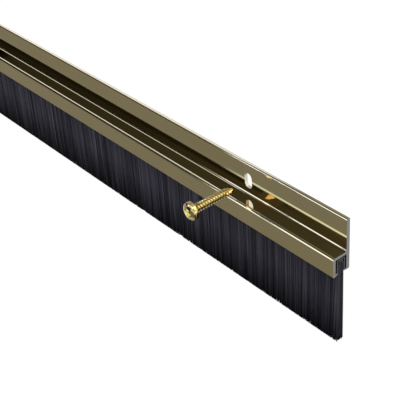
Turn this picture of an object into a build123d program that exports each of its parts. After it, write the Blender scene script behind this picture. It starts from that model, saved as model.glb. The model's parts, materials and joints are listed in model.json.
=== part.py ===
from build123d import *
import os

# Door brush seal: an extruded carrier that is screwed to the face of a door, and a strip brush that
# hangs in the carrier's channel and closes the gap under the door.
# Millimetres. X runs along the door, -Y faces the room and +Z is up.
# The origin is on the back face of the flange, at mid-length and at the height of the slots' centres.

# Carrier, a constant section along the whole length
seal_length = 914.0
flange_thick = 1.7
flange_rise = 15.7       # from the top of the web to the top of the flange
web_depth = 7.5          # from the flange's front face to the outside of the front wall
web_thick = 1.3
wall_thick = 1.3
wall_height = 9.5        # from the top of the web to the foot of the carrier
lip_reach = 1.4          # how far each lip stands in from its wall
front_lip_root = 1.3     # thickness of the front lip where it leaves the front wall
rear_lip_root = 0.8      # thickness of the rear lip where it leaves the flange
lip_tip = 0.6            # thickness of each lip at its tip, which is hooked up
front_radius = 1.3       # the soft edge between the web and the front wall
root_radius = 1.0        # the inside corner between the web and the flange
top_radius = 0.75        # the front edge along the top of the flange
foot_radius = 0.35       # the outside corners at the foot
edge_radius = 0.3        # the back edge along the top of the flange
channel_radius = 0.3     # the inside corners of the channel

# Upright slots in the flange, which let the seal be set higher or lower on the door
slot_count = 4
slot_play = 0.4          # how much wider a slot is than the screw's thread
slot_travel = 3.0        # distance between the centres of a slot's two round ends
slot_drop = 8.7          # from the top of the flange to the slot's centre
slot_end_margin = 58.0   # from each end of the carrier to the nearest slot

# Strip brush
backing_wall = 0.5
backing_side_gap = 0.8   # between the backing and each wall of the channel
backing_head_gap = 0.5   # between the backing and the web
backing_radius = 0.9     # outside radius of the fold along the backing's top edges
pack_gap = 0.1           # between the filament pack and the backing
mouth_gap = 0.15         # between the filament pack and each lip
bristle_drop = 35.7      # how far the filaments reach below the carrier
bristle_flare = 0.5      # how far each face of the pack spreads from the mouth to the tips
bristle_lean = 0.3       # how far the tips stand forward of the mouth
tip_radius = 0.8         # the worn corners along the tips, at the front and at the back
wire_diameter = 1.4
wire_gap = 0.1           # between the wire and the filaments folded over it
wire_inset = 0.6         # how far the wire stops short of each cut end

# Pan-head tapping screws, one in line with each slot and drawn out in front of it
thread_diameter = 4.2
screw_length = 22.2      # under the head
point_length = 4.6
point_flat = 0.5         # diameter of the blunt end of the point
head_diameter = 8.3
head_height = 3.3
dome_radius = 6.5
head_edge = 0.7          # the bevel between the head's side and its dome
recess_span = 4.6        # across two opposite wings of the cross recess
recess_wing = 1.0        # width of a wing
recess_core = 2.5        # diameter at the centre of the cross
recess_depth = 2.1
recess_taper = 0.55      # size of the recess at its floor as a share of its size at the top
screw_clear = 8.8        # from the flange's front face to the screw's point

# Levels and places worked out from the sizes above
flange_top = slot_drop
web_top = flange_top - flange_rise
web_under = web_top - web_thick
foot = web_top - wall_height
lip_top = foot + front_lip_root
rear_foot = lip_top - rear_lip_root
flange_front = -flange_thick
wall_front = flange_front - web_depth
wall_inside = wall_front + wall_thick
channel_width = flange_front - wall_inside
channel_middle = (flange_front + wall_inside) / 2
mouth_width = channel_width - 2 * lip_reach

backing_width = channel_width - 2 * backing_side_gap
backing_top = web_under - backing_head_gap
backing_inside = backing_width - 2 * backing_wall
pack_width = backing_inside - 2 * pack_gap
mouth_pack = min(pack_width, mouth_width - 2 * mouth_gap)
tip_pack = mouth_pack + 2 * bristle_flare
fold_top = backing_top - backing_wall - pack_gap
fold_centre = fold_top - pack_width / 2
bristle_tip = foot - bristle_drop

slot_width = thread_diameter + slot_play
slot_span = seal_length - 2 * slot_end_margin
slot_pitch = slot_span / (slot_count - 1)
slot_places = [slot_pitch * i - slot_span / 2 for i in range(slot_count)]


def along_seal(section, length):
    """A solid of this section, centred on the middle of the seal's length."""
    return extrude(Plane.YZ.offset(-length / 2) * section, length)


def rounded_outline(corners):
    """A closed face through (y, z, radius) corners, each with its own radius."""
    face = make_face(Polyline(*[(y, z) for y, z, _ in corners], close=True))
    for y, z, radius in corners:
        if radius:
            corner = face.vertices().sort_by_distance((y, z, 0))[0]
            face = fillet(corner, radius)
    return face


def carrier_section():
    """The F-shaped section: tall flange, web, front wall and the two hooked lips."""
    front_hook = wall_inside + lip_reach
    rear_hook = flange_front - lip_reach
    tip_under = lip_top - lip_tip
    hook_radius = lip_tip * 0.45
    return rounded_outline([
        (0, flange_top, edge_radius),
        (0, rear_foot, foot_radius),
        (flange_front, rear_foot, 0),
        (rear_hook, tip_under, hook_radius),
        (rear_hook, lip_top, hook_radius),
        (flange_front, lip_top, channel_radius),
        (flange_front, web_under, channel_radius),
        (wall_inside, web_under, channel_radius),
        (wall_inside, lip_top, channel_radius),
        (front_hook, lip_top, hook_radius),
        (front_hook, tip_under, hook_radius),
        (wall_inside, foot, 0),
        (wall_front, foot, foot_radius),
        (wall_front, web_top, front_radius),
        (flange_front, web_top, root_radius),
        (flange_front, flange_top, top_radius),
    ])


def slot_cutters():
    """One upright round-ended slot through the flange at each fixing place."""
    outline = SlotCenterToCenter(slot_travel, slot_width, rotation=90)
    face_of_flange = Plane.XZ.offset(2 * flange_thick)
    return [
        extrude(face_of_flange * Pos(x, 0) * outline, -4 * flange_thick)
        for x in slot_places
    ]


def make_carrier():
    return along_seal(carrier_section(), seal_length) - slot_cutters()


def make_backing():
    """An inverted U of strip, whose two legs stand on the lips."""
    height = backing_top - lip_top
    outside = Pos(channel_middle, lip_top + height / 2) * Rectangle(backing_width, height)
    outside = fillet(outside.vertices().group_by(Axis.Y)[-1], backing_radius)
    inner_height = height - backing_wall
    inside = Pos(channel_middle, lip_top + inner_height / 2) * Rectangle(backing_inside, inner_height)
    inside = fillet(inside.vertices().group_by(Axis.Y)[-1], backing_radius - backing_wall)
    return along_seal(outside - inside, seal_length)


def make_core_wire():
    round_wire = Pos(channel_middle, fold_centre) * Circle(wire_diameter / 2)
    return along_seal(round_wire, seal_length - 2 * wire_inset)


def make_bristles():
    """The filament pack: folded over the wire, straight through the mouth, then flared and leaning."""
    half_pack = pack_width / 2
    half_mouth = mouth_pack / 2
    front_tip = -tip_pack / 2 - bristle_lean
    rear_tip = tip_pack / 2 - bristle_lean
    legs = make_face(Polyline(
        (-half_pack, fold_centre),
        (-half_pack, lip_top + half_pack - half_mouth),
        (-half_mouth, lip_top),
        (-half_mouth, foot),
        (front_tip, bristle_tip),
        (rear_tip, bristle_tip),
        (half_mouth, foot),
        (half_mouth, lip_top),
        (half_pack, lip_top + half_pack - half_mouth),
        (half_pack, fold_centre),
        close=True,
    ))
    legs = fillet(legs.vertices().group_by(Axis.Y)[0], tip_radius)
    fold = Pos(0, fold_centre) * Circle(half_pack)
    wire_hole = Pos(0, fold_centre) * Circle(wire_diameter / 2 + wire_gap)
    return along_seal(Pos(channel_middle, 0) * (legs + fold - wire_hole), seal_length)


def cross_recess():
    """Two crossed tapering wings and a tapering core, cut down from the top of the head."""
    floor = Pos(0, 0, head_height - recess_depth)
    top = Pos(0, 0, head_height)
    wing = loft([
        floor * Rectangle(recess_span * recess_taper, recess_wing * recess_taper),
        top * Rectangle(recess_span, recess_wing),
    ])
    core = loft([
        floor * Circle(recess_core * recess_taper / 2),
        top * Circle(recess_core / 2),
    ])
    return wing + Rot(0, 0, 90) * wing + core


def make_screw():
    """A tapping screw standing on its point: the head's seat is at Z 0 and its dome is above."""
    head = head_diameter / 2
    shank = thread_diameter / 2
    dome_side = head_height - dome_radius + (dome_radius**2 - head**2) ** 0.5
    dome_middle = head_height - dome_radius + (dome_radius**2 - (head / 2) ** 2) ** 0.5
    sides = Polyline(
        (0, head_height),
        (0, -screw_length),
        (point_flat / 2, -screw_length),
        (shank, point_length - screw_length),
        (shank, 0),
        (head, 0),
        (head, dome_side),
    )
    dome = ThreePointArc((head, dome_side), (head / 2, dome_middle), (0, head_height))
    half = make_face(sides + dome)
    rim = half.vertices().sort_by_distance((head, dome_side, 0))[0]
    half = chamfer(rim, head_edge)
    return revolve(Plane.XZ * half, Axis.Z) - cross_recess()


def screw_in_front(x):
    """A screw on the centre line of the slot at x, with its point towards the slot."""
    seat = flange_front - screw_clear - screw_length
    return Pos(x, seat, 0) * Rot(90, 0, 0) * make_screw()


nodes = {
    "carrier": make_carrier(),
    "brush_backing": make_backing(),
    "core_wire": make_core_wire(),
    "bristles": make_bristles(),
}
for number, place in enumerate(slot_places, 1):
    nodes[f"screw_{number}"] = screw_in_front(place)

os.makedirs("parts", exist_ok=True)
for name, solid in nodes.items():
    export_step(solid, f"parts/{name}.step")
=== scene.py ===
# %% [markdown]
# # A brush seal
# This strip closes the gap above a threshold. A gold anodised aluminium carrier with an F-shaped section
# holds a black strip brush that keeps draughts out. Four yellow-plated screws wait in line with its slots.
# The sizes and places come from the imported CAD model, which this first cell opens. X runs along the seal,
# -Y faces the room and +Z is up. Blender works in metres, and what is drawn in mm is scaled by MM.

# %% Open the frame
import json
import math

import bmesh
import bpy
from mathutils import Matrix, Vector


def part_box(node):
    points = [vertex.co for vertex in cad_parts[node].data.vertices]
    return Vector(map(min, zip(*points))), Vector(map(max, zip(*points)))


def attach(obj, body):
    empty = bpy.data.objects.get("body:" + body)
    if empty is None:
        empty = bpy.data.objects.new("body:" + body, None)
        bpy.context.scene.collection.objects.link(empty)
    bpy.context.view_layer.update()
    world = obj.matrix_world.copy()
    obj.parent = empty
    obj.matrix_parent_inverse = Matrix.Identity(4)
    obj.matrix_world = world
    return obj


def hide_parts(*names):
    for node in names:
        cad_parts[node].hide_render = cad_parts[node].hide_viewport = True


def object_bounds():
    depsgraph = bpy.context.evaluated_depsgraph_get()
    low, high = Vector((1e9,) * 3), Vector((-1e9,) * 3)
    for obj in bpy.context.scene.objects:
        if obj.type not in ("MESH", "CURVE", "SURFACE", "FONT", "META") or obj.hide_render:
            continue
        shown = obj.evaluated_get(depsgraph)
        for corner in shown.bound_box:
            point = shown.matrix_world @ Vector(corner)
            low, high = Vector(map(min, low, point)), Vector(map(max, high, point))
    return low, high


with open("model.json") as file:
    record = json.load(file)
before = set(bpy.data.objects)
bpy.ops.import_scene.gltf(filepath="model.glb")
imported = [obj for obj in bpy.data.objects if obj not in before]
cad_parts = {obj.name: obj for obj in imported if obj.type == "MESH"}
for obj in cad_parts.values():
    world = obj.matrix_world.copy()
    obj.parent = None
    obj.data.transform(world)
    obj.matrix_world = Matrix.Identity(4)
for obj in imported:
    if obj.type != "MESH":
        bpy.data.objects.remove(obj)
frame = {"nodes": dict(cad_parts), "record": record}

cad_low, cad_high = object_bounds()
scene = bpy.context.scene
scene.view_settings.view_transform = "Standard"
MM = 0.001


def placed(name, data):
    """A new object in the scene."""
    thing = bpy.data.objects.new(name, data)
    scene.collection.objects.link(thing)
    return thing


print("nodes in the frame:", ", ".join(sorted(frame["nodes"])))
print("the CAD box, in mm:", [round(v / MM, 1) for v in (*cad_low, *cad_high)])

# %% [markdown]
# ## The camera
# The picture that this scene follows was taken from very near, in front of the seal's right end. Its edges
# give the camera's place, turn and lens, so these numbers were solved from it and not guessed.

# %% Put up the camera
camera_place = (0.66564, -0.22694, 0.22917)
camera_turn = (55.671, 4.164, 50.508)        # degrees about X, Y and Z
camera_lens = 86.73           # mm
sensor_width = 36             # mm

camera = placed("camera", bpy.data.cameras.new("camera"))
camera.data.sensor_width = sensor_width
camera.data.lens = camera_lens
camera.location = camera_place
camera.rotation_euler = [math.radians(turn) for turn in camera_turn]
scene.camera = camera
print("camera at", camera_place, "with a lens of", camera_lens, "mm")

# %% [markdown]
# ## A way to write node trees
# Materials and Geometry Nodes are both trees of nodes. `Nodes` adds a node from its type, its settings and
# the values or links of its sockets. `Link` wraps an output, so that plain sums such as `mask * 0.3 + 0.7`
# add the Math nodes that they need.

# %% Nodes and links
class Link:
    """An output socket in a node tree, which can be used in sums."""

    def __init__(self, nodes, socket):
        self.nodes = nodes
        self.socket = socket

    def sum(self, operation, *values):
        return self.nodes.add("ShaderNodeMath", {"operation": operation}, dict(enumerate(values)))

    def to(self, socket):
        """Joins this output to a socket."""
        self.nodes.tree.links.new(self.socket, socket)

    def __add__(self, other):
        return self.sum("ADD", self, other)

    def __sub__(self, other):
        return self.sum("SUBTRACT", self, other)

    def __mul__(self, other):
        return self.sum("MULTIPLY", self, other)

    def __truediv__(self, other):
        return self.sum("DIVIDE", self, other)

    def __gt__(self, other):
        return self.sum("GREATER_THAN", self, other)

    def __abs__(self):
        return self.sum("ABSOLUTE", self)


class Nodes:
    """Adds nodes to one tree."""

    def __init__(self, tree):
        self.tree = tree

    def add(self, kind, settings=None, sockets=None, output=0):
        node = self.tree.nodes.new(kind)
        for name, value in (settings or {}).items():
            setattr(node, name, value)
        for key, value in (sockets or {}).items():
            socket = node.inputs[key]
            if isinstance(value, Link):
                value.to(socket)
            else:
                socket.default_value = value
        return Link(self, node.outputs[output])

    def ramp(self, factor, low, high, bottom=0.0, top=1.0):
        """factor from low to high, mapped to bottom to top and held there outside."""
        return self.add("ShaderNodeMapRange", {"clamp": True}, {
            "Value": factor, "From Min": low, "From Max": high, "To Min": bottom, "To Max": top})

    def blend(self, factor, first, second):
        """A colour between first and second."""
        colours = {6: first, 7: second}
        for key, colour in colours.items():
            if not isinstance(colour, Link):
                colours[key] = (*colour, 1.0)
        return self.add("ShaderNodeMix", {"data_type": "RGBA"}, {0: factor, **colours}, output=2)

    def axis(self, vector, number):
        """One of a vector's three numbers."""
        return self.add("ShaderNodeSeparateXYZ", {}, {0: vector}, output=number)

    def noise(self, place, scale, detail=2.0, roughness=0.5):
        """Soft noise from 0 to 1 at a place."""
        return self.add("ShaderNodeTexNoise", {}, {
            "Vector": place, "Scale": scale, "Detail": detail, "Roughness": roughness})

    def stretched(self, place, stretch):
        """A place with each axis multiplied by its own number."""
        return self.add("ShaderNodeVectorMath", {"operation": "MULTIPLY"}, {0: place, 1: stretch})

    def lines(self, place, stretch, detail=2.0, roughness=0.6):
        """Noise that is stretched so unevenly that it becomes lines."""
        return self.noise(self.stretched(place, stretch), 1.0, detail, roughness)


def bare_material(name):
    """A material without a shader, the helper that adds nodes to it, and the socket for its surface."""
    material = bpy.data.materials.new(name)
    material.use_nodes = True
    nodes = material.node_tree.nodes
    nodes.remove(nodes["Principled BSDF"])
    return material, Nodes(material.node_tree), nodes["Material Output"].inputs["Surface"]


def new_material(name, metal=1.0):
    """A material, the helper that adds nodes to it, its Principled shader, and the place on the piece."""
    material = bpy.data.materials.new(name)
    material.use_nodes = True
    shader = material.node_tree.nodes["Principled BSDF"]
    shader.inputs["Metallic"].default_value = metal
    nodes = Nodes(material.node_tree)
    return material, nodes, shader, nodes.add("ShaderNodeTexCoord", output=3)


def feed(shader, name, link):
    """Joins a link to one of the shader's sockets."""
    link.to(shader.inputs[name])


def relief(nodes, shader, height, strength, distance):
    """Fine relief on the surface, from a height."""
    feed(shader, "Normal", nodes.add("ShaderNodeBump", {}, {
        "Strength": strength, "Distance": distance, "Height": height}))


print("Link and Nodes are ready")

# %% [markdown]
# ## The studio
# The seal stands in a white room with a pale floor. A camera ray, and a ray that leaves polished metal,
# sees that white at full strength, while the soft light on the object comes from a weaker world and one
# large lamp. The floor keeps a faint shadow, because part of what the camera sees of it is diffuse.

# %% The white room
room_light = 0.62             # what the room gives to surfaces that aren't polished


def sees_background(nodes):
    """A mask of camera rays, and one of rays from the camera, from polished metal or through glass."""
    outputs = nodes.add("ShaderNodeLightPath").socket.node.outputs
    ray_names = ("Is Camera Ray", "Is Glossy Ray", "Is Transmission Ray")
    camera_ray, glossy_ray, through_ray = (Link(nodes, outputs[name]) for name in ray_names)
    return camera_ray, nodes.ramp(camera_ray + glossy_ray + through_ray, 0, 1)


world = bpy.data.worlds.new("white_room")
scene.world = world
world.use_nodes = True
background = world.node_tree.nodes["Background"]
background.inputs["Color"].default_value = (1, 1, 1, 1)
_, seen = sees_background(Nodes(world.node_tree))
(seen * (1 - room_light) + room_light).to(background.inputs["Strength"])
print("the room gives", room_light, "to surfaces that aren't polished")

# %% The floor
floor_drop = 30 * MM          # from the filament tips down to the floor
floor_reach = 6.0             # from the middle of the seal to each side
floor_grey, floor_glow = 0.86, 1.05
shadow_share = 0.1            # how much the camera sees of the diffuse surface
floor_level = cad_low.z - floor_drop

signs = ((-1, -1), (1, -1), (1, 1), (-1, 1))
floor_corners = [(x * floor_reach, y * floor_reach, floor_level) for x, y in signs]
floor_mesh = bpy.data.meshes.new("floor")
floor_mesh.from_pydata(floor_corners, [], [(0, 1, 2, 3)])
floor = placed("floor", floor_mesh)

floor_white, paper, surface = bare_material("floor_white")
camera_ray, seen = sees_background(paper)
matt = paper.add("ShaderNodeBsdfDiffuse", {}, {"Color": (floor_grey, floor_grey, floor_grey, 1)})
glow = paper.add("ShaderNodeEmission", {}, {"Color": (1, 1, 1, 1), "Strength": floor_glow})
share = seen - camera_ray * shadow_share
paper.add("ShaderNodeMixShader", {}, {0: share, 1: matt, 2: glow}).to(surface)
floor_mesh.materials.append(floor_white)
print("the floor is", round(floor_drop / MM), "mm below the filament tips")

# %% [markdown]
# ## The lamp
# One large round lamp above the seal, in front of it and to the right, gives the brush its soft light. Its
# place is a bearing and a height, as seen from the part that the camera looks at.

# %% Hang the lamp
seal_view = Vector((0.36, -0.005, 0.0))      # the middle of the stretch that the camera sees
lamp_size, lamp_watts = 1.4, 20
lamp_bearing, lamp_height, lamp_distance = 115, 62, 1.8


def towards(bearing, height, distance):
    """A point at a bearing from -X towards -Y and at a height above the horizon, both in degrees."""
    bearing, height = math.radians(bearing), math.radians(height)
    level = math.cos(height)
    direction = Vector((-math.cos(bearing) * level, -math.sin(bearing) * level, math.sin(height)))
    return seal_view + distance * direction


lamp = bpy.data.lights.new("overhead_lamp", "AREA")
lamp.shape = "DISK"
lamp.size = lamp_size
lamp.energy = lamp_watts
lamp_place = towards(lamp_bearing, lamp_height, lamp_distance)
lamp_aim = (seal_view - lamp_place).to_track_quat("-Z", "Y").to_matrix().to_4x4()
lamp_holder = placed("overhead_lamp", lamp)
lamp_holder.matrix_world = Matrix.Translation(lamp_place) @ lamp_aim
print("one lamp of", lamp_watts, "W hangs at", [round(v, 2) for v in lamp_place])

# %% [markdown]
# ## Cards for the metal to mirror
# In an all-white room polished metal would show nothing but its own colour. A photographer sets bright
# panels and dark cards round it, so that its rounded edges pick up pale and dark lines. Only reflections
# see the cards here. Their corners were found by following a line of sight to each part of the seal and
# turning it as a mirror would. Each corner has its own glow, so that a card can fade to one side.

# %% A card and its outlines
white = (1.0, 1.0, 1.0)
sky_distance = 2.6


def card(name, corners, glows, tint=white):
    """A flat card that only reflections see, with a glow for each corner or one for all."""
    if not isinstance(glows, list):
        glows = [glows] * len(corners)
    mesh = bpy.data.meshes.new(name)
    mesh.from_pydata(corners, [], [tuple(range(len(corners)))])
    shade = mesh.attributes.new("glow", "FLOAT_COLOR", "POINT")
    for corner, glow in enumerate(glows):
        shade.data[corner].color = (*(glow * part for part in tint), 1)
    holder = placed(name, mesh)
    holder.visible_camera = holder.visible_diffuse = holder.visible_shadow = False
    glowing, nodes, surface = bare_material(name)
    here = nodes.add("ShaderNodeAttribute", {"attribute_name": "glow"})
    nodes.add("ShaderNodeEmission", {}, {"Color": here, "Strength": 1.0}).to(surface)
    mesh.materials.append(glowing)


def rectangle(across, along):
    """The four corners of a rectangle, from its range across and its range along."""
    (left, right), (near, far) = across, along
    return [(left, near), (right, near), (right, far), (left, far)]


def flat(level, points):
    """The corners of a card that lies level, from their X and Y."""
    return [(x, y, level) for x, y in points]


def upright(x, ys, zs):
    """The corners of a card that stands across the seal's length."""
    return [(x, y, z) for y, z in rectangle(ys, zs)]


def distant(bearings, heights):
    """The corners of a card far away, from what it covers as seen from the seal."""
    return [towards(bearing, height, sky_distance) for bearing, height in rectangle(bearings, heights)]


print("card() makes a card, and four small functions make its corners")

# %% [markdown]
# The flange and the front wall stand upright and the camera looks down on them, so they mirror the floor
# in front of the seal. A grey sheet lies where their flat faces look. The rounded edges look further out,
# at the dark sheets, and at a bright sheet that leads to the bright panel in front.

# %% Sheets on the floor
daylight, cool_daylight = (0.95, 1.04, 1.52), (0.95, 1.10, 1.85)
sheet_level = floor_level + 0.5 * MM
dark_level = sheet_level + 0.2 * MM
near_level = sheet_level + 0.4 * MM
grey_front, floor_end = -0.098, -1.5          # Y where the grey sheet and the dark sheets end
bright_left, bright_right = (0.115, -0.285), (0.275, -0.285)     # where the bright sheet starts
panel_y, panel_top, ceiling = -3.0, 1.60, 1.0

grey_sheet = rectangle((-0.9, 0.50), (-0.035, grey_front))
card("grey_floor", flat(sheet_level, grey_sheet), [0.37, 0.575, 0.575, 0.37])
card("dark_floor_left", flat(dark_level, [
    (0.24, grey_front), bright_left, (-0.149, -0.60), (-0.903, floor_end), (-2.4, floor_end),
    (-2.4, grey_front)]), 0.45)
card("dark_floor_right", flat(dark_level, [
    (0.24, grey_front), (0.47, grey_front), (0.50, floor_end), (-0.48, floor_end),
    bright_right, bright_left]), 0.22)
print("a grey sheet and two dark ones lie on the floor")

# %% [markdown]
# The long edge between the web and the front wall is a small arc that looks from straight up to straight
# ahead. On the far stretch its pale line is the bright panel overhead, and near the cut end it is the
# panel in front. The dark cards between the two make the dark lines beside it.

# %% Panels overhead and in front
card("panel_overhead", flat(ceiling, [
    (-0.46, -0.30), (-0.45, 0.05), (-0.78, 1.25), (-2.3, 1.25), (-2.3, -0.30)]), 2.6, daylight)
card("fading_overhead", flat(ceiling, [
    (-0.45, 0.05), (-0.31, 0.05), (-0.64, 1.25), (-0.78, 1.25)]), [2.6, 0.3, 0.3, 2.6], daylight)
card("grey_overhead", flat(ceiling, [(-0.31, 0.05), (0.7, 0.05), (0.7, 1.25), (-0.64, 1.25)]), 0.75)
card("black_overhead", flat(ceiling, [
    (0.7, -0.62), (0.7, 0.05), (-0.45, 0.05), (-0.46, -0.30), (-0.46, -0.62)]), 0.17)


def front_panel(name, foot_xs, top_xs, glows, tint=white):
    """A card that stands far in front of the seal, with its top shifted sideways from its foot."""
    low_edge = [(x, panel_y, sheet_level) for x in foot_xs]
    high_edge = [(x, panel_y, panel_top) for x in reversed(top_xs)]
    card(name, low_edge + high_edge, glows, tint)


card("panel_front_sheet", flat(sheet_level, [
    bright_left, bright_right, (-1.42, panel_y), (-2.16, panel_y)]), 4.3, cool_daylight)
front_panel("panel_front", (-2.16, -1.42), (-2.52, -1.70), 4.3, cool_daylight)
front_panel("fading_front", (-2.36, -2.16), (-2.72, -2.52), [0.5, 2.0, 2.0, 0.5])
print("four cards hang overhead, and three stand in front")

# %% [markdown]
# The web and the foot of the flange meet like two mirrors in a corner, which sends a line of sight back to
# the graded and dark cards in front and to the left. The warm cards to the right, behind and to the left
# are mirrored by the screws, the rounded edges and the cut end.

# %% Cards round the room
right_wall, left_wall, panel_height = 1.2, -2.5, 0.22
cool_grey, warm, rosy = (0.95, 1.0, 1.15), (1.0, 0.86, 0.70), (1.0, 0.82, 0.8)
straw, cream = (1.0, 0.93, 0.78), (1.0, 0.97, 0.85)

card("warm_right", upright(right_wall, (-0.10, 1.60), (sheet_level, 1.0)), [2.1, 2.1, 0.1, 0.1], straw)
card("warm_right_front", upright(right_wall, (-0.90, -0.10), (panel_height, 0.90)), 0.3, warm)
card("warm_behind", [(x, 0.30, z) for x, z in rectangle((-2.0, 0.75), (0.0, 0.29))], 0.5, rosy)
card("panel_right", upright(right_wall, (-0.75, -0.10), (sheet_level, panel_height)), 1.7, cream)
card("warm_left", upright(left_wall, (-0.75, 1.3), (0.0, 1.5)), 0.42, rosy)
card("graded_left", distant((14, 47.5), (22, 46)), [0.05, 0.46, 0.46, 0.05], cool_grey)
card("grey_left", distant((47.5, 57), (27, 46)), 0.54, cool_grey)
card("black_left", distant((12, 47.5), (-1, 22)), 0.0)
print("eight cards stand round the room")

# %% [markdown]
# Some narrow cards run along the seal, just above and in front of it. The upper ones tone the foot of the
# flange, and the lower ones make the dark line beside the pale one on the long edge. Near the cut end a
# thin bright strip keeps that pale line going.

# %% Narrow cards along the seal
upper_edge, split_edge, lower_edge = (-0.0402, 0.0348), (-0.0435, 0.03173), (-0.0452, 0.0301)     # Y and Z
strip_edges = (-0.009534, -0.008155), (-0.009938, -0.007782)
edge_white = (2.19, 2.41, 2.56)


def along_card(name, xs, edges, glows, tint=white):
    """A narrow card along the seal between two edges, with a glow at its left and one at its right."""
    (left, right), (first, second) = xs, edges
    corners = [(left, *first), (right, *first), (right, *second), (left, *second)]
    card(name, corners, [glows[0], glows[1], glows[1], glows[0]], tint)


along_card("near_dark_left", (-0.1, 0.25), (upper_edge, split_edge), (0.04, 0.13))
along_card("near_dark_right", (0.25, 0.42), (upper_edge, split_edge), (0.13, 0.42))
along_card("near_black_left", (-0.1, 0.345), (split_edge, lower_edge), (0.04, 0.07))
along_card("near_black_right", (0.345, 0.42), (split_edge, lower_edge), (0.07, 0.50))
along_card("edge_strip_start", (0.372, 0.392), strip_edges, (0.2, 0.9), edge_white)
along_card("edge_strip", (0.392, 0.475), strip_edges, (0.9, 1.3), edge_white)
print("six narrow cards run along the seal")

# %% [markdown]
# The last cards are for the nearest screw. Dark ones beside its head and its thread and under it give the
# plating its contrast, two bright ones high on the right draw the streaks along it, and a small orange one
# is at its point, where the flange mirrors it.

# %% Cards round the nearest screw
shade_warm, point_orange, streak_cream = (1.0, 0.92, 0.90), (1.0, 0.80, 0.55), (1.0, 0.98, 0.88)
head_front, head_side = (0.3995, -0.0442), (0.3918, -0.0406)

card("head_shade", [(*head_front, 0.0), (*head_side, 0.0), (*head_side, 0.005), (*head_front, 0.005)], 0.02)
card("screw_shade", flat(0.0085, rectangle((0.385, 0.3985), (-0.036, -0.004))), 0.42, shade_warm)
card("thread_shade", upright(0.3935, (-0.0325, -0.016), (0.0005, 0.008)), 0.45, shade_warm)
card("point_gleam", [
    (0.3993, -0.0106, -0.0005), (0.4003, -0.0118, -0.0024), (0.4014, -0.0138, -0.0033),
    (0.4014, -0.0146, 0.0003), (0.4003, -0.0118, 0.0001)], [5.5, 5.0, 7.0, 8.5, 7.5], point_orange)
card("floor_shade", flat(sheet_level, rectangle((0.33, 0.47), (-0.035, 0.06))), 0.08)
card("dark_floor_near", flat(near_level, [
    (0.408, -0.03), (0.408, -0.084), (0.445, -0.17), (0.62, -0.17), (0.62, -0.03)]), 0.04)
card("streak_overhead", flat(ceiling, rectangle((0.7, 1.25), (0.2, 1.0))), 2.2, streak_cream)
card("streak_right", upright(1.19, (0.2, 1.0), (0.42, 1.0)), 2.0, streak_cream)
print("eight cards are set for the nearest screw")

# %% [markdown]
# ## The carrier
# An extrusion is one section pushed along a line, and the carrier is made the same way: its outline is
# drawn from its corners, each with its own radius, and a Geometry Nodes tree pushes it along the seal and
# punches the slots. The arcs are much finer than in the CAD model, because their pale and dark lines are
# what the eye sees first. A point just outside each arc keeps the flat beside it flat in its shading.

# %% The section's sizes
def in_mm(metres):
    """A size from the frame in mm, without the rounding error of its mesh."""
    return round(metres / MM, 3)


carrier_low, carrier_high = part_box("carrier")
seal_length = in_mm(carrier_high.x - carrier_low.x) * MM

flange_thick, web_thick, wall_thick = 1.7, 1.3, 1.3           # all in mm
flange_rise = 15.7            # from the top of the web to the top of the flange
front_lip_root, rear_lip_root = 1.3, 0.8
lip_reach, lip_tip = 1.4, 0.6
front_radius, root_radius, top_radius = 1.3, 1.0, 0.75
foot_radius, edge_radius, channel_radius = 0.35, 0.3, 0.3
hook_radius = lip_tip * 0.45

flange_top, foot = in_mm(carrier_high.z), in_mm(carrier_low.z)
flange_front, wall_front = -flange_thick, in_mm(carrier_low.y)
wall_inside = wall_front + wall_thick
web_top = flange_top - flange_rise
web_under = web_top - web_thick
lip_top = foot + front_lip_root
rear_foot = lip_top - rear_lip_root
tip_under = lip_top - lip_tip
print("the carrier is", in_mm(seal_length), "mm long and", round(flange_top - foot, 1), "mm high")

# %% The section's outline
section_corners = [           # y, z and radius, in mm
    (0, flange_top, edge_radius),
    (0, rear_foot, foot_radius),
    (flange_front, rear_foot, 0),
    (flange_front - lip_reach, tip_under, hook_radius),
    (flange_front - lip_reach, lip_top, hook_radius),
    (flange_front, lip_top, channel_radius),
    (flange_front, web_under, channel_radius),
    (wall_inside, web_under, channel_radius),
    (wall_inside, lip_top, channel_radius),
    (wall_inside + lip_reach, lip_top, hook_radius),
    (wall_inside + lip_reach, tip_under, hook_radius),
    (wall_inside, foot, 0),
    (wall_front, foot, foot_radius),
    (wall_front, web_top, front_radius),
    (flange_front, web_top, root_radius),
    (flange_front, flange_top, top_radius),
]


def rounded(corner, before, after, radius, steps=10, rest=0.03):
    """An arc in place of a corner, with a resting point beside it where the side is long enough."""
    back, onward = (before - corner).normalized(), (after - corner).normalized()
    half_angle = back.angle(onward) / 2
    reach = radius / math.tan(half_angle)
    centre = corner + (back + onward).normalized() * radius / math.sin(half_angle)
    start, end = corner + back * reach - centre, corner + onward * reach - centre
    sweep = start.angle_signed(end)
    bend = [centre + Matrix.Rotation(-sweep * step / steps, 2) @ start for step in range(steps + 1)]
    if (before - corner).length > 3 * reach:
        bend.insert(0, corner + back * (reach + rest))
    if (after - corner).length > 3 * reach:
        bend.append(corner + onward * (reach + rest))
    return bend


def outline(corners):
    """The points of an outline, from its corners and their radii."""
    places = [Vector((y, z)) for y, z, _ in corners]
    points = []
    for i, (_, _, radius) in enumerate(corners):
        after = places[(i + 1) % len(places)]
        points += rounded(places[i], places[i - 1], after, radius) if radius else [places[i]]
    return points


section = outline(section_corners)
section_mesh = bpy.data.meshes.new("carrier_section")
section_mesh.from_pydata(
    [(-seal_length / 2, p.x * MM, p.y * MM) for p in section], [], [tuple(range(len(section)))])
print("the section has", len(section), "points")

# %% [markdown]
# Both Geometry Nodes trees here are written with the same small class. It adds the tree's named inputs,
# and it grows a plain mesh from a base mesh and the inputs' values.

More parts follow.
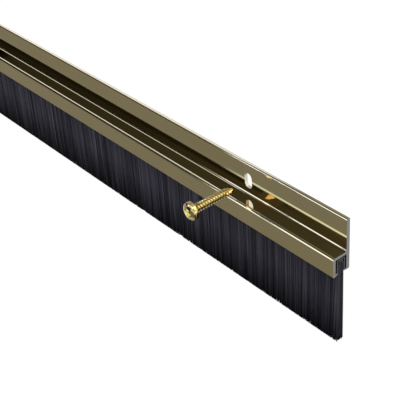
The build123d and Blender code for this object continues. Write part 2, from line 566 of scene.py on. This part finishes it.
# %% A tree with named inputs
class Tree(Nodes):
    """A Geometry Nodes tree with named inputs."""

    def __init__(self, name):
        super().__init__(bpy.data.node_groups.new(name, "GeometryNodeTree"))
        for way in ("OUTPUT", "INPUT"):
            self.tree.interface.new_socket("Geometry", in_out=way, socket_type="NodeSocketGeometry")
        self.entry = self.tree.nodes.new("NodeGroupInput")
        self.names = {}

    def numbers(self, *names, kind="Float"):
        """Adds named inputs, and returns them as links."""
        for name in names:
            item = self.tree.interface.new_socket(name, in_out="INPUT", socket_type=f"NodeSocket{kind}")
            self.names[name] = item.identifier
        return [Link(self, self.entry.outputs[name]) for name in names]

    def geometry(self):
        return Link(self, self.entry.outputs["Geometry"])

    def vector(self, x=0.0, y=0.0, z=0.0):
        return self.add("ShaderNodeCombineXYZ", {}, {0: x, 1: y, 2: z})

    def here(self):
        """The place of each point."""
        return self.add("GeometryNodeInputPosition")

    def moved(self, mesh, offset):
        return self.add("GeometryNodeSetPosition", {}, {0: mesh, "Offset": offset})

    def turned(self, mesh, rotation):
        return self.add("GeometryNodeTransform", {}, {0: mesh, "Rotation": rotation})

    def finish(self, result):
        result.to(self.tree.nodes.new("NodeGroupOutput").inputs[0])

    def grow(self, name, base, values):
        """Runs the tree on a base mesh with these inputs, and returns a plain mesh object."""
        holder = placed(name + "_recipe", base)
        modifier = holder.modifiers.new("recipe", "NODES")
        modifier.node_group = self.tree
        for key, value in values.items():
            modifier[self.names[key]] = value
        bpy.context.view_layer.update()
        evaluated = holder.evaluated_get(bpy.context.evaluated_depsgraph_get())
        mesh = bpy.data.meshes.new_from_object(evaluated)
        bpy.data.objects.remove(holder)
        mesh.name = name
        return placed(name, mesh)


print("a Tree can have named inputs and grow a mesh")

# %% [markdown]
# A cutter is a cylinder whose upper and lower halves are pulled apart. One is set at each fixing place,
# and the Boolean node takes them all out of the flange at once. Edges that turn by more than 25 degrees
# stay sharp. The faces that look along the seal aren't gold: the slots' sides and the two cut ends.

# %% The carrier's tree
slot_facets = 40
crisp_angle = math.radians(25)
flat_limit = 0.02             # how far a face may turn along the seal and still be gold
end_limit = 0.4999            # the cut ends are further out than this share of the length


def crisp(tree, mesh):
    """Smooth shading, with the edges that turn by more than crisp_angle kept sharp."""
    smooth = tree.add("GeometryNodeSetShadeSmooth", {"domain": "FACE"}, {0: mesh, "Shade Smooth": True})
    turn = tree.add("GeometryNodeInputMeshEdgeAngle")
    return tree.add("GeometryNodeSetShadeSmooth", {"domain": "EDGE"}, {
        0: smooth, "Selection": turn > crisp_angle, "Shade Smooth": False})


def painted(tree, mesh, finish, where=True):
    return tree.add("GeometryNodeSetMaterial", {}, {0: mesh, "Selection": where, "Material": finish})


def extruded(tree, section, length):
    """The section pushed along X, closed at both ends."""
    pushed = tree.add("GeometryNodeExtrudeMesh", {"mode": "FACES"}, {
        "Mesh": section, "Offset": tree.vector(length), "Offset Scale": 1.0, "Individual": False})
    other_end = tree.add("GeometryNodeFlipFaces", {}, {0: section})
    bar = tree.add("GeometryNodeJoinGeometry")
    for part in (pushed, other_end):
        part.to(bar.socket.node.inputs[0])
    return tree.add("GeometryNodeMergeByDistance", {}, {0: bar, "Distance": 1e-6})


def slot_cutter(tree, width, travel, depth):
    """A cylinder that lies along Y, with its upper and lower halves pulled apart."""
    round_bar = tree.add("GeometryNodeMeshCylinder", {"fill_type": "NGON"}, {
        "Vertices": slot_facets, "Radius": width / 2, "Depth": depth})
    lying = tree.turned(tree.turned(round_bar, (0, 0, math.pi / slot_facets)), (math.pi / 2, 0, 0))
    height = tree.axis(tree.here(), 2)
    return tree.moved(lying, tree.vector(z=height.sum("SIGN", height) * travel / 2))


def carrier_tree(gold, punched, bare):
    tree = Tree("carrier_tree")
    length, end_margin = tree.numbers("Seal length", "End margin")
    slot_width, slot_travel, depth = tree.numbers("Slot width", "Slot travel", "Cutter depth")
    slot_count = tree.numbers("Slot count", kind="Int")[0]

    bar = extruded(tree, tree.geometry(), length)
    cutter = slot_cutter(tree, slot_width, slot_travel, depth)
    first = end_margin - length / 2
    pitch = (length - end_margin * 2) / (slot_count - 1)
    places = tree.add("GeometryNodeMeshLine", {"mode": "OFFSET"}, {
        "Count": slot_count, "Start Location": tree.vector(first), "Offset": tree.vector(pitch)})
    cutters = tree.add("GeometryNodeInstanceOnPoints", {}, {"Points": places, "Instance": cutter})
    cutters = tree.add("GeometryNodeRealizeInstances", {}, {0: cutters})
    subtract = {"operation": "DIFFERENCE", "solver": "EXACT"}
    shaped = crisp(tree, tree.add("GeometryNodeMeshBoolean", subtract, {0: bar, 1: cutters}))

    facing = tree.axis(tree.add("GeometryNodeInputNormal"), 0)
    along = tree.axis(tree.here(), 0)
    shaped = painted(tree, shaped, gold)
    shaped = painted(tree, shaped, punched, abs(facing) > flat_limit)
    shaped = painted(tree, shaped, bare, abs(along) > length * end_limit)
    tree.finish(tree.add("GeometryNodeRealizeInstances", {}, {0: shaped}))
    return tree


print("the carrier's tree can be built once its finishes are made")

# %% [markdown]
# ## Gold anodising
# Anodising grows a thin clear oxide on the aluminium and dyes it, so what is seen is metal, tinted and not
# very bright, under a thin hard coat. The die leaves fine lines along the whole extrusion, which change
# the shine more than the colour. A slow cloudiness keeps a long flat from looking like plastic.

# %% Gold and bare aluminium
def gold_anodising():
    material, nodes, shader, place = new_material("gold_anodised_aluminium")
    die_lines = nodes.lines(place, (2.0, 1400.0, 1400.0), detail=3.0)
    fine_lines = nodes.lines(place, (12.0, 5200.0, 5200.0), roughness=0.5)
    clouds = nodes.noise(place, 28.0, 3.0, 0.55)
    specks = nodes.noise(place, 2600.0, 1.0, 0.5)
    tone = nodes.ramp(die_lines * 0.6 + clouds * 0.4, 0.35, 0.65)
    feed(shader, "Base Color", nodes.blend(tone, (0.282, 0.234, 0.119), (0.312, 0.257, 0.131)))
    feed(shader, "Roughness", nodes.ramp(die_lines * 0.7 + specks * 0.3, 0.3, 0.7, 0.025, 0.06))
    shader.inputs["Specular Tint"].default_value = (1.0, 0.95, 0.8, 1)
    feed(shader, "Coat Weight", nodes.ramp(clouds, 0.3, 0.7, 0.10, 0.18))
    shader.inputs["Coat Roughness"].default_value = 0.03
    relief(nodes, shader, die_lines + fine_lines * 0.5, 0.05, 0.02 * MM)
    return material


def bare_aluminium():
    material, nodes, shader, place = new_material("bare_cut_aluminium")
    saw_lines = nodes.lines(place, (200.0, 600.0, 6500.0))
    blotches = nodes.noise(place, 900.0, 2.0, 0.5)
    tone = nodes.ramp(saw_lines * 0.6 + blotches * 0.4, 0.3, 0.7)
    feed(shader, "Base Color", nodes.blend(tone, (0.165, 0.163, 0.165), (0.26, 0.256, 0.255)))
    feed(shader, "Roughness", nodes.ramp(saw_lines, 0.3, 0.7, 0.32, 0.5))
    relief(nodes, shader, saw_lines, 0.25, 0.03 * MM)
    return material


def punched_aluminium():
    material, nodes, shader, place = new_material("punched_aluminium")
    drag_lines = nodes.lines(place, (5200.0, 300.0, 5200.0))
    tone = nodes.ramp(drag_lines, 0.3, 0.7)
    feed(shader, "Base Color", nodes.blend(tone, (0.58, 0.54, 0.43), (0.72, 0.68, 0.56)))
    feed(shader, "Roughness", nodes.ramp(drag_lines, 0.3, 0.7, 0.3, 0.45))
    relief(nodes, shader, drag_lines, 0.2, 0.02 * MM)
    return material


print("gold, bare and punched aluminium can be made")

# %% [markdown]
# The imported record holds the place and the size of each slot, because the screws mount there. So the
# carrier is grown with the record's own numbers.

# %% Grow the carrier
slot_mounts = [mount for mount in frame["record"]["mounts"] if mount["kind"] == "bolt_pattern"]
slot_places = [mount["pos_m"][0] for mount in slot_mounts]
slot_size = slot_mounts[0]["dims"]
slot_width = 2 * slot_size["hole_r_mm"]
carrier = carrier_tree(gold_anodising(), punched_aluminium(), bare_aluminium()).grow(
    "carrier_extrusion", section_mesh, {
        "Seal length": seal_length, "Slot width": slot_width * MM,
        "Slot travel": (slot_size["slot_length_mm"] - slot_width) * MM, "Slot count": len(slot_places),
        "End margin": seal_length / 2 + slot_places[0], "Cutter depth": 8 * MM})
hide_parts("carrier")
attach(carrier, "root")
print("the carrier has", len(carrier.data.polygons), "faces")

# %% [markdown]
# ## The backing and the core wire
# The filaments are clamped in a folded steel strip and looped over a wire. Only the cut ends show, so the
# CAD pieces stay as they are and get a steel finish: dull and dark, with the spangle of old zinc. The wire's
# dark colour is painted shade, for its end in the dark of the brush.

# %% Steel for the backing and the wire
def dull_steel(name, dark, light, grain):
    material, nodes, shader, place = new_material(name)
    spangle = nodes.noise(place, grain, 3.0, 0.6)
    scuffs = nodes.lines(place, (60.0, 2400.0, 2400.0), roughness=0.5)
    feed(shader, "Base Color", nodes.blend(nodes.ramp(spangle * 0.7 + scuffs * 0.3, 0.35, 0.65), dark, light))
    feed(shader, "Roughness", nodes.ramp(spangle, 0.3, 0.7, 0.38, 0.6))
    relief(nodes, shader, scuffs, 0.2, 0.03 * MM)
    return material


finishes = {
    "brush_backing": dull_steel("dull_galvanised_strip", (0.055, 0.055, 0.062), (0.10, 0.10, 0.11), 900.0),
    # Painted shade: the wire is coloured dark for the shade round its end inside the brush.
    "core_wire": dull_steel("shaded_steel_wire", (0.06, 0.06, 0.06), (0.12, 0.12, 0.12), 1800.0),
}
for node_name, finish in finishes.items():
    mesh = frame["nodes"][node_name].data
    mesh.materials.clear()
    mesh.materials.append(finish)
    print(node_name, "is finished in", finish.name)

# %% [markdown]
# ## The filaments
# The brush is tens of thousands of straight nylon filaments. A hair system isn't a mesh and can't be
# exported, so Geometry Nodes set a three-sided strand at every point of a fine grid and turn each one a
# little, at random and with its neighbours, so that the brush has the streaks and loose clumps of a real
# one. Inside them a dark core keeps light from shining through. Its colour, darker than most of the
# strands, is painted shade deep inside the pack.

# %% Black filament
# Painted shade: the filaments' colour darkens towards the tips, for the shade near the floor.
shade_below, shade_ends_above = -53 * MM, -31 * MM      # the filaments are darker towards their tips


def black_filament():
    material, nodes, shader, place = new_material("black_filament", 0.0)
    tone = nodes.add("ShaderNodeAttribute", {"attribute_name": "tone"}, output=2)
    dust = nodes.lines(place, (3000.0, 3000.0, 350.0))
    # This ramp blends in the painted shade, darkest at the tips.
    painted_tip_shade = nodes.ramp(nodes.axis(place, 2), shade_below, shade_ends_above)
    shade = nodes.ramp(tone * 0.8 + dust * 0.2, 0.2, 0.9)
    upper = nodes.blend(shade, (0.0155, 0.0147, 0.0197), (0.0735, 0.0698, 0.0914))
    lower = nodes.blend(shade, (0.0002, 0.0002, 0.0003), (0.0036, 0.0035, 0.0047))
    feed(shader, "Base Color", nodes.blend(painted_tip_shade, lower, upper))
    feed(shader, "Roughness", nodes.ramp(tone, 0.1, 0.9, 0.6, 0.45))
    shader.inputs["Specular IOR Level"].default_value = 0.05
    return material


filament = black_filament()
print("made", filament.name)

# %% [markdown]
# One strand is a thin three-sided rod that bends a little. The tree stands it on a jittered grid of roots
# and leans each copy: outwards by its row, which makes the flare, and sideways by slow noise, which makes
# the clumps. Noise of another size, stored on each strand as its tone, makes the streaks. Then everything
# below the trim line is pushed up to it, so that the brush has a cut edge with worn corners.

# %% A strand and the trim line
strand_jitter, strand_bend = 0.45, 0.8            # shares of a strand's thickness
clump_size, drift_size, streak_size = 260.0, 55.0, 420.0
clump_lean, drift_lean, own_lean = 0.012, 0.006, 0.002
rear_wear = 0.12                                  # how much rounder the trim is at the rear
corner_power = 6.0


def one_strand(tree, thickness, drop):
    """A strand that hangs from its root and bends towards its tip."""
    rod = tree.add("GeometryNodeMeshCylinder", {"fill_type": "NGON"}, {
        "Vertices": 3, "Side Segments": 2, "Radius": thickness / 2, "Depth": drop})
    hanging = tree.add("GeometryNodeTransform", {}, {0: rod, "Translation": tree.vector(z=drop * -0.5)})
    down = tree.axis(tree.here(), 2) / drop * -1
    return tree.moved(hanging, tree.vector(down * down * thickness * strand_bend))


def trimmed(tree, strands, half_width, drop, forward, corner_rise, wander):
    """Pushes what hangs too low up to the trim line."""
    here = tree.here()
    x, y, z = (tree.axis(here, number) for number in range(3))
    edge = abs(y + forward) / half_width + (y > 0) * rear_wear
    uneven = tree.noise(tree.stretched(here, (1.0, 1.0, 0.0)), 900.0, 2.0, 0.7) * wander
    trim_line = edge.sum("POWER", edge, corner_power) * corner_rise + uneven - drop
    raised = tree.vector(x, y, z.sum("MAXIMUM", z, trim_line))
    return tree.add("GeometryNodeSetPosition", {}, {0: strands, "Position": raised})


print("a strand and the trim line are ready for the tree")

# %% The strand tree
def strand_tree(finish):
    tree = Tree("strand_tree")
    run_start, run_length, across = tree.numbers("Run start", "Run length", "Pack width")
    thickness, drop, flare = tree.numbers("Strand diameter", "Strand length", "Flare")
    forward, corner_rise, trim_wander = tree.numbers("Forward lean", "Corner rise", "Trim wander")
    columns, rows, seed = tree.numbers("Columns", "Rows", "Seed", kind="Int")

    def chance(low, high, extra):
        """A random number for each strand, whose seed is the tree's seed and its own extra."""
        return tree.add("FunctionNodeRandomValue", {"data_type": "FLOAT"}, {
            2: low, 3: high, "Seed": seed + extra}, output=1)

    points = tree.add("GeometryNodeMeshGrid", {}, {
        "Size X": run_length, "Size Y": across, "Vertices X": columns, "Vertices Y": rows})
    jitter_x, jitter_y = (chance(-1.0, 1.0, extra) * thickness * strand_jitter for extra in (1, 2))
    for offset in (tree.vector(jitter_x, jitter_y), tree.vector(run_start + run_length / 2)):
        points = tree.moved(points, offset)

    place = tree.here()
    across_here = tree.axis(place, 1)
    clump = tree.noise(place, clump_size, 2.0, 0.6) - 0.5
    drift = tree.noise(place, drift_size, 1.0, 0.5) - 0.5
    sideways = clump * clump_lean + drift * drift_lean + chance(-own_lean, own_lean, 3)
    flared = across_here / across * 2 * flare / drop
    outwards = flared + forward / drop * -1 + chance(-own_lean, own_lean, 4)
    own_turn = tree.vector(z=chance(0.0, 6.283, 5))
    stood = tree.add("GeometryNodeInstanceOnPoints", {}, {
        "Points": points, "Instance": one_strand(tree, thickness, drop), "Rotation": own_turn})
    stood = tree.add("GeometryNodeRotateInstances", {}, {
        0: stood, "Rotation": tree.vector(outwards, sideways), "Local Space": False})

    streak = tree.noise(tree.stretched(place, (1.0, 0.3, 1.0)), streak_size, 3.0, 0.7)
    tone = (streak - 0.5) * 1.7 + chance(-0.3, 0.3, 7) + 0.5
    toned = tree.add("GeometryNodeStoreNamedAttribute", {"data_type": "FLOAT", "domain": "INSTANCE"}, {
        0: stood, "Name": "tone", "Value": tone})
    strands = tree.add("GeometryNodeRealizeInstances", {}, {0: toned})
    strands = trimmed(tree, strands, across / 2 + flare, drop, forward, corner_rise, trim_wander)
    tree.finish(painted(tree, strands, finish))
    return tree


print("the strand tree can be built")

# %% Grow the brush
filament_top, filament_tip = -11.2 * MM, in_mm(cad_low.z) * MM
channel_middle = (flange_front + wall_inside) / 2 * MM
run_count, rows = 4, 11
run_length = seal_length / run_count
strand_diameter, strand_spacing = 0.32 * MM, 0.25 * MM
columns = int(run_length / strand_spacing)
empty_mesh = bpy.data.meshes.new("nothing")
strands = strand_tree(filament)
for run in range(run_count):
    piece = strands.grow(f"bristle_run_{run + 1}", empty_mesh, {
        "Run start": run_length * run - seal_length / 2 + strand_diameter / 2,
        "Run length": run_length - strand_diameter, "Pack width": 2.8 * MM, "Columns": columns, "Rows": rows,
        "Strand diameter": strand_diameter, "Strand length": filament_top - filament_tip,
        "Flare": 0.5 * MM, "Forward lean": 0.3 * MM, "Corner rise": 0.35 * MM, "Trim wander": 0.2 * MM,
        "Seed": 100 * run})
    piece.data.transform(Matrix.Translation((0, channel_middle, filament_top)))
    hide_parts("bristles")
    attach(piece, "root")
    print(piece.name, "has", columns * rows, "strands and", len(piece.data.polygons), "faces")

# %% The dark core
core_steps = 12
core_inset = 0.25 * MM                            # from each cut end
half_pack, half_mouth = 1.7, 1.25                 # in mm, as the next two lines
tip_front, tip_rear = -1.65, 1.05
shoulder, core_foot = lip_top + 0.5, -50.0


def core_mesh():
    """The folded top over the wire, and a slab down between the strands, a little inside them."""
    turns = [math.pi * step / core_steps for step in range(core_steps + 1)]
    fold_level = filament_top / MM
    fold = [(math.cos(turn) * half_pack, fold_level + math.sin(turn) * half_pack) for turn in turns]
    legs = [
        (-half_pack, shoulder), (-half_mouth, lip_top), (tip_front, core_foot),
        (tip_rear, core_foot), (half_mouth, lip_top), (half_pack, shoulder)]
    ring = [(y + channel_middle / MM, z) for y, z in fold + legs]
    end = seal_length / 2 - core_inset
    count = len(ring)
    faces = [tuple(range(count)), tuple(reversed(range(count, 2 * count)))]
    faces += [(i, i + count, (i + 1) % count + count, (i + 1) % count) for i in range(count)]
    mesh = bpy.data.meshes.new("bristle_core")
    mesh.from_pydata([(x, y * MM, z * MM) for x in (-end, end) for y, z in ring], [], faces)
    return mesh


# Painted shade: darker than most of the strands, for the shade deep inside the pack.
def packed_filament_in_shade():
    material, nodes, shader, place = new_material("packed_filament_in_shade", 0.0)
    strands = nodes.lines(place, (2600.0, 2600.0, 90.0))
    feed(shader, "Base Color", nodes.blend(strands, (0.003, 0.003, 0.004), (0.012, 0.012, 0.015)))
    feed(shader, "Roughness", nodes.ramp(strands, 0.2, 0.8, 0.5, 0.75))
    relief(nodes, shader, strands, 0.6, 0.1 * MM)
    return material


core = placed("bristle_core", core_mesh())
shell = bmesh.new()
shell.from_mesh(core.data)
bmesh.ops.recalc_face_normals(shell, faces=shell.faces)
shell.to_mesh(core.data)
shell.free()
core.data.materials.append(packed_filament_in_shade())
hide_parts("bristles")
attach(core, "root")
print("the core has", len(core.data.polygons), "faces")

# %% [markdown]
# ## The screws
# The screws are tapping screws with a pan head and a cross recess. The thread is a grid of rows that climb
# with the helix. The crest is always one row, so it stays a clean sharp line with few faces, and at the
# point the rows shrink to nothing. The head is turned from its outline, and a tapered cross cuts the
# recess.

# %% Thread and point
thread_pitch, crest, root = 1.4, 2.1, 1.4         # in mm, as every size of the screw
screw_length, point_length = 22.2, 4.6
point_radius = 0.12
thread_start, thread_fade = 3.2, 1.2              # how far the thread takes to grow and to end
turn_steps = 28
row_heights = [0.0, 0.12, 0.5, 0.88, 1.0, 0.88, 0.5, 0.12]        # how far each row of a turn stands out
row_places = [0.14, 0.28, 0.36, 0.44, 0.5, 0.56, 0.64, 0.72]      # where it is along the pitch


def held(value, low=0.0, high=1.0):
    return min(max(value, low), high)


def thread_radius(z, height):
    """The thread's radius at a height above the point, thinning to the point and under the head."""
    up = z + screw_length
    taper = held(up / point_length) ** 0.8
    core_here = (point_radius + (root - point_radius) * taper) if up > 0 else 0.0
    out = (crest - root) * held((up + 0.2) / thread_start) * held(-z / thread_fade)
    return core_here + out * height


def thread_mesh(mesh):
    """Adds the threaded shank to a bmesh, with its seat at z 0 and its point down."""
    rows_a_turn = len(row_heights)
    turns = int(screw_length / thread_pitch) + 4
    grid = []
    for row in range(turns * rows_a_turn):
        turn, place = divmod(row, rows_a_turn)
        line = []
        for step in range(turn_steps):
            angle = 2 * math.pi * step / turn_steps
            z = (turn + row_places[place] + step / turn_steps - 2) * thread_pitch - screw_length
            level = held(z, -screw_length, 0.3)
            radius = thread_radius(level, row_heights[place]) if -screw_length < z < 0.9 else 0.0
            line.append(mesh.verts.new((radius * math.cos(angle), radius * math.sin(angle), level)))
        grid.append(line)
    for row in range(len(grid) - 1):
        for step in range(turn_steps):
            across, lift = (step + 1, 0) if step + 1 < turn_steps else (0, rows_a_turn)
            if row + 1 + lift < len(grid):
                low, high = grid[row + lift][across], grid[row + 1 + lift][across]
                mesh.faces.new((grid[row][step], low, high, grid[row + 1][step]))
    bmesh.ops.remove_doubles(mesh, verts=mesh.verts, dist=0.002)


shank = bmesh.new()
thread_mesh(shank)
open_edges = sum(not edge.is_manifold for edge in shank.edges)
print("the thread has", len(shank.faces), "faces and", open_edges, "open edges")

# %% Head and recess
head_radius, head_height, dome_radius, rim_radius = 4.15, 3.3, 6.5, 0.9
head_sides = 40


def arc(middle, radius, start, end, steps):
    """Points on an arc between two angles, with both ends."""
    angles = [start + (end - start) * step / steps for step in range(steps + 1)]
    return [(middle[0] + radius * math.cos(angle), middle[1] + radius * math.sin(angle)) for angle in angles]


def head_mesh():
    """The pan head as a bmesh: flat seat at z 0, rounded rim and low dome."""
    rim_middle, dome_middle = head_radius - rim_radius, head_height - dome_radius
    rim_level = dome_middle + math.sqrt((dome_radius - rim_radius) ** 2 - rim_middle ** 2)
    meet = math.atan2(rim_level - dome_middle, rim_middle)
    line = [(0, 0), (root, 0), (head_radius - 0.25, 0), (head_radius - 0.06, 0.06)]
    line += [(head_radius, 0.25), (head_radius, 0.8)]
    line += arc((rim_middle, rim_level), rim_radius, 0, meet, 6)
    line += arc((0, dome_middle), dome_radius, meet, math.pi / 2, 7)[1:]
    mesh = bmesh.new()
    turns = [2 * math.pi * side / head_sides for side in range(head_sides)]
    rings = []
    for r, z in line:
        if r < 1e-6:
            rings.append([mesh.verts.new((0, 0, z))] * head_sides)
        else:
            rings.append([mesh.verts.new((r * math.cos(turn), r * math.sin(turn), z)) for turn in turns])
    for low, high in zip(rings, rings[1:]):
        for side in range(head_sides):
            beside = (side + 1) % head_sides
            mesh.faces.new(list(dict.fromkeys((low[side], low[beside], high[beside], high[side]))))
    bmesh.ops.recalc_face_normals(mesh, faces=mesh.faces)
    return mesh


def recess_mesh():
    """A cross that tapers down to a blunt point, used to cut the recess."""
    quarter = [(2.3, 0.42), (1.3, 0.5), (0.84, 0.84), (0.5, 1.3), (0.42, 2.3)]
    turns = [Matrix.Rotation(math.radians(90 * quarters), 2) for quarters in range(4)]
    cross = [turn @ Vector(point) for turn in turns for point in quarter]
    levels = ((head_height + 0.4, 1.08), (head_height - 2.0, 0.52))      # with the cross's size there
    mesh = bmesh.new()
    top, low = ([mesh.verts.new((p.x * size, p.y * size, z)) for p in cross] for z, size in levels)
    bottom = mesh.verts.new((0, 0, head_height - 2.45))
    mesh.faces.new(top)
    for i in range(len(cross)):
        j = (i + 1) % len(cross)
        mesh.faces.new((top[i], top[j], low[j], low[i]))
        mesh.faces.new((low[i], low[j], bottom))
    bmesh.ops.recalc_face_normals(mesh, faces=mesh.faces)
    return mesh


def as_object(name, mesh):
    data = bpy.data.meshes.new(name)
    mesh.to_mesh(data)
    mesh.free()
    return placed(name, data)


head = as_object("head", head_mesh())
recess = as_object("recess", recess_mesh())
cut = head.modifiers.new("recess", "BOOLEAN")
cut.object = recess
cut.operation = "DIFFERENCE"
cut.solver = "EXACT"
soften = head.modifiers.new("soften", "BEVEL")
soften.width = 0.07
soften.segments = 2
soften.limit_method = "ANGLE"
soften.angle_limit = math.radians(38)
bpy.context.view_layer.update()
cut_head = bpy.data.meshes.new_from_object(head.evaluated_get(bpy.context.evaluated_depsgraph_get()))
shank.from_mesh(cut_head)

dome_centre = Vector((0, 0, head_height - dome_radius))
recess_depth, recess_floor, recess_reach = 0.12, 0.75, 2.5       # a face of the recess is inside these
for face in shank.faces:
    middle = face.calc_center_median()
    sunk = (middle - dome_centre).length < dome_radius - recess_depth
    face.material_index = int(sunk and middle.z > recess_floor and middle.xy.length < recess_reach)
for used in (head, recess):
    bpy.data.objects.remove(used)
print("thread and head together have", len(shank.faces), "faces")

# %% [markdown]
# The plating is bright zinc with a yellow chromate film: glossy metal that shifts from pale to deep straw,
# with faint pink patches. Inside the recess a duller, stronger yellow and much brighter copy of it, only
# half metal, is painted light: the bright light that bounces in the recess.

# %% Yellow plating
def yellow_plating(name, pale, deep, flush, shine, metal=1.0):
    material, nodes, shader, place = new_material(name, metal)
    film = nodes.noise(place, 420.0, 2.0, 0.5)
    patches = nodes.noise(place, 900.0, 3.0, 0.6)
    straw = nodes.blend(nodes.ramp(film, 0.38, 0.62), deep, pale)
    pink = nodes.blend(nodes.ramp(patches, 0.55, 0.72, 0.0, 0.55), straw, flush)
    feed(shader, "Base Color", pink)
    feed(shader, "Roughness", nodes.ramp(patches, 0.3, 0.7, *shine))
    relief(nodes, shader, patches, 0.15, 0.03 * MM)
    return material


plating = yellow_plating(
    "yellow_plating", (0.68, 0.57, 0.27), (0.56, 0.45, 0.17), (0.62, 0.43, 0.28), (0.06, 0.14))
# Painted light: this brighter, half-metal copy of the plating stands for the light that bounces inside the
# recess.
lit_recess_plating = yellow_plating(
    "yellow_plating_lit_in_recess", (1.0, 0.95, 0.42), (0.97, 0.88, 0.30), (0.95, 0.80, 0.30), (0.40, 0.50), 0.5)
print("made", plating.name, "and", lit_recess_plating.name)

# %% Set the screws in front of their slots
screw_seat = in_mm(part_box("screw_1")[1].y) - screw_length
lying_down = Matrix.Rotation(math.pi / 2, 4, "X")
for number, slot_place in enumerate(slot_places):
    mesh = bpy.data.meshes.new(f"screw_threaded_{number + 1}")
    shank.to_mesh(mesh)
    seat = Matrix.Translation((slot_place, screw_seat * MM, 0))
    mesh.transform(seat @ lying_down @ Matrix.Scale(MM, 4))
    mesh.materials.append(plating)
    mesh.materials.append(lit_recess_plating)
    mesh.polygons.foreach_set("use_smooth", [True] * len(mesh.polygons))
    mesh.set_sharp_from_angle(angle=math.radians(38))
    screw = placed(mesh.name, mesh)
    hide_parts(f"screw_{number + 1}")
    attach(screw, "root")
shank.free()
print("four screws, each with", len(mesh.polygons), "faces")
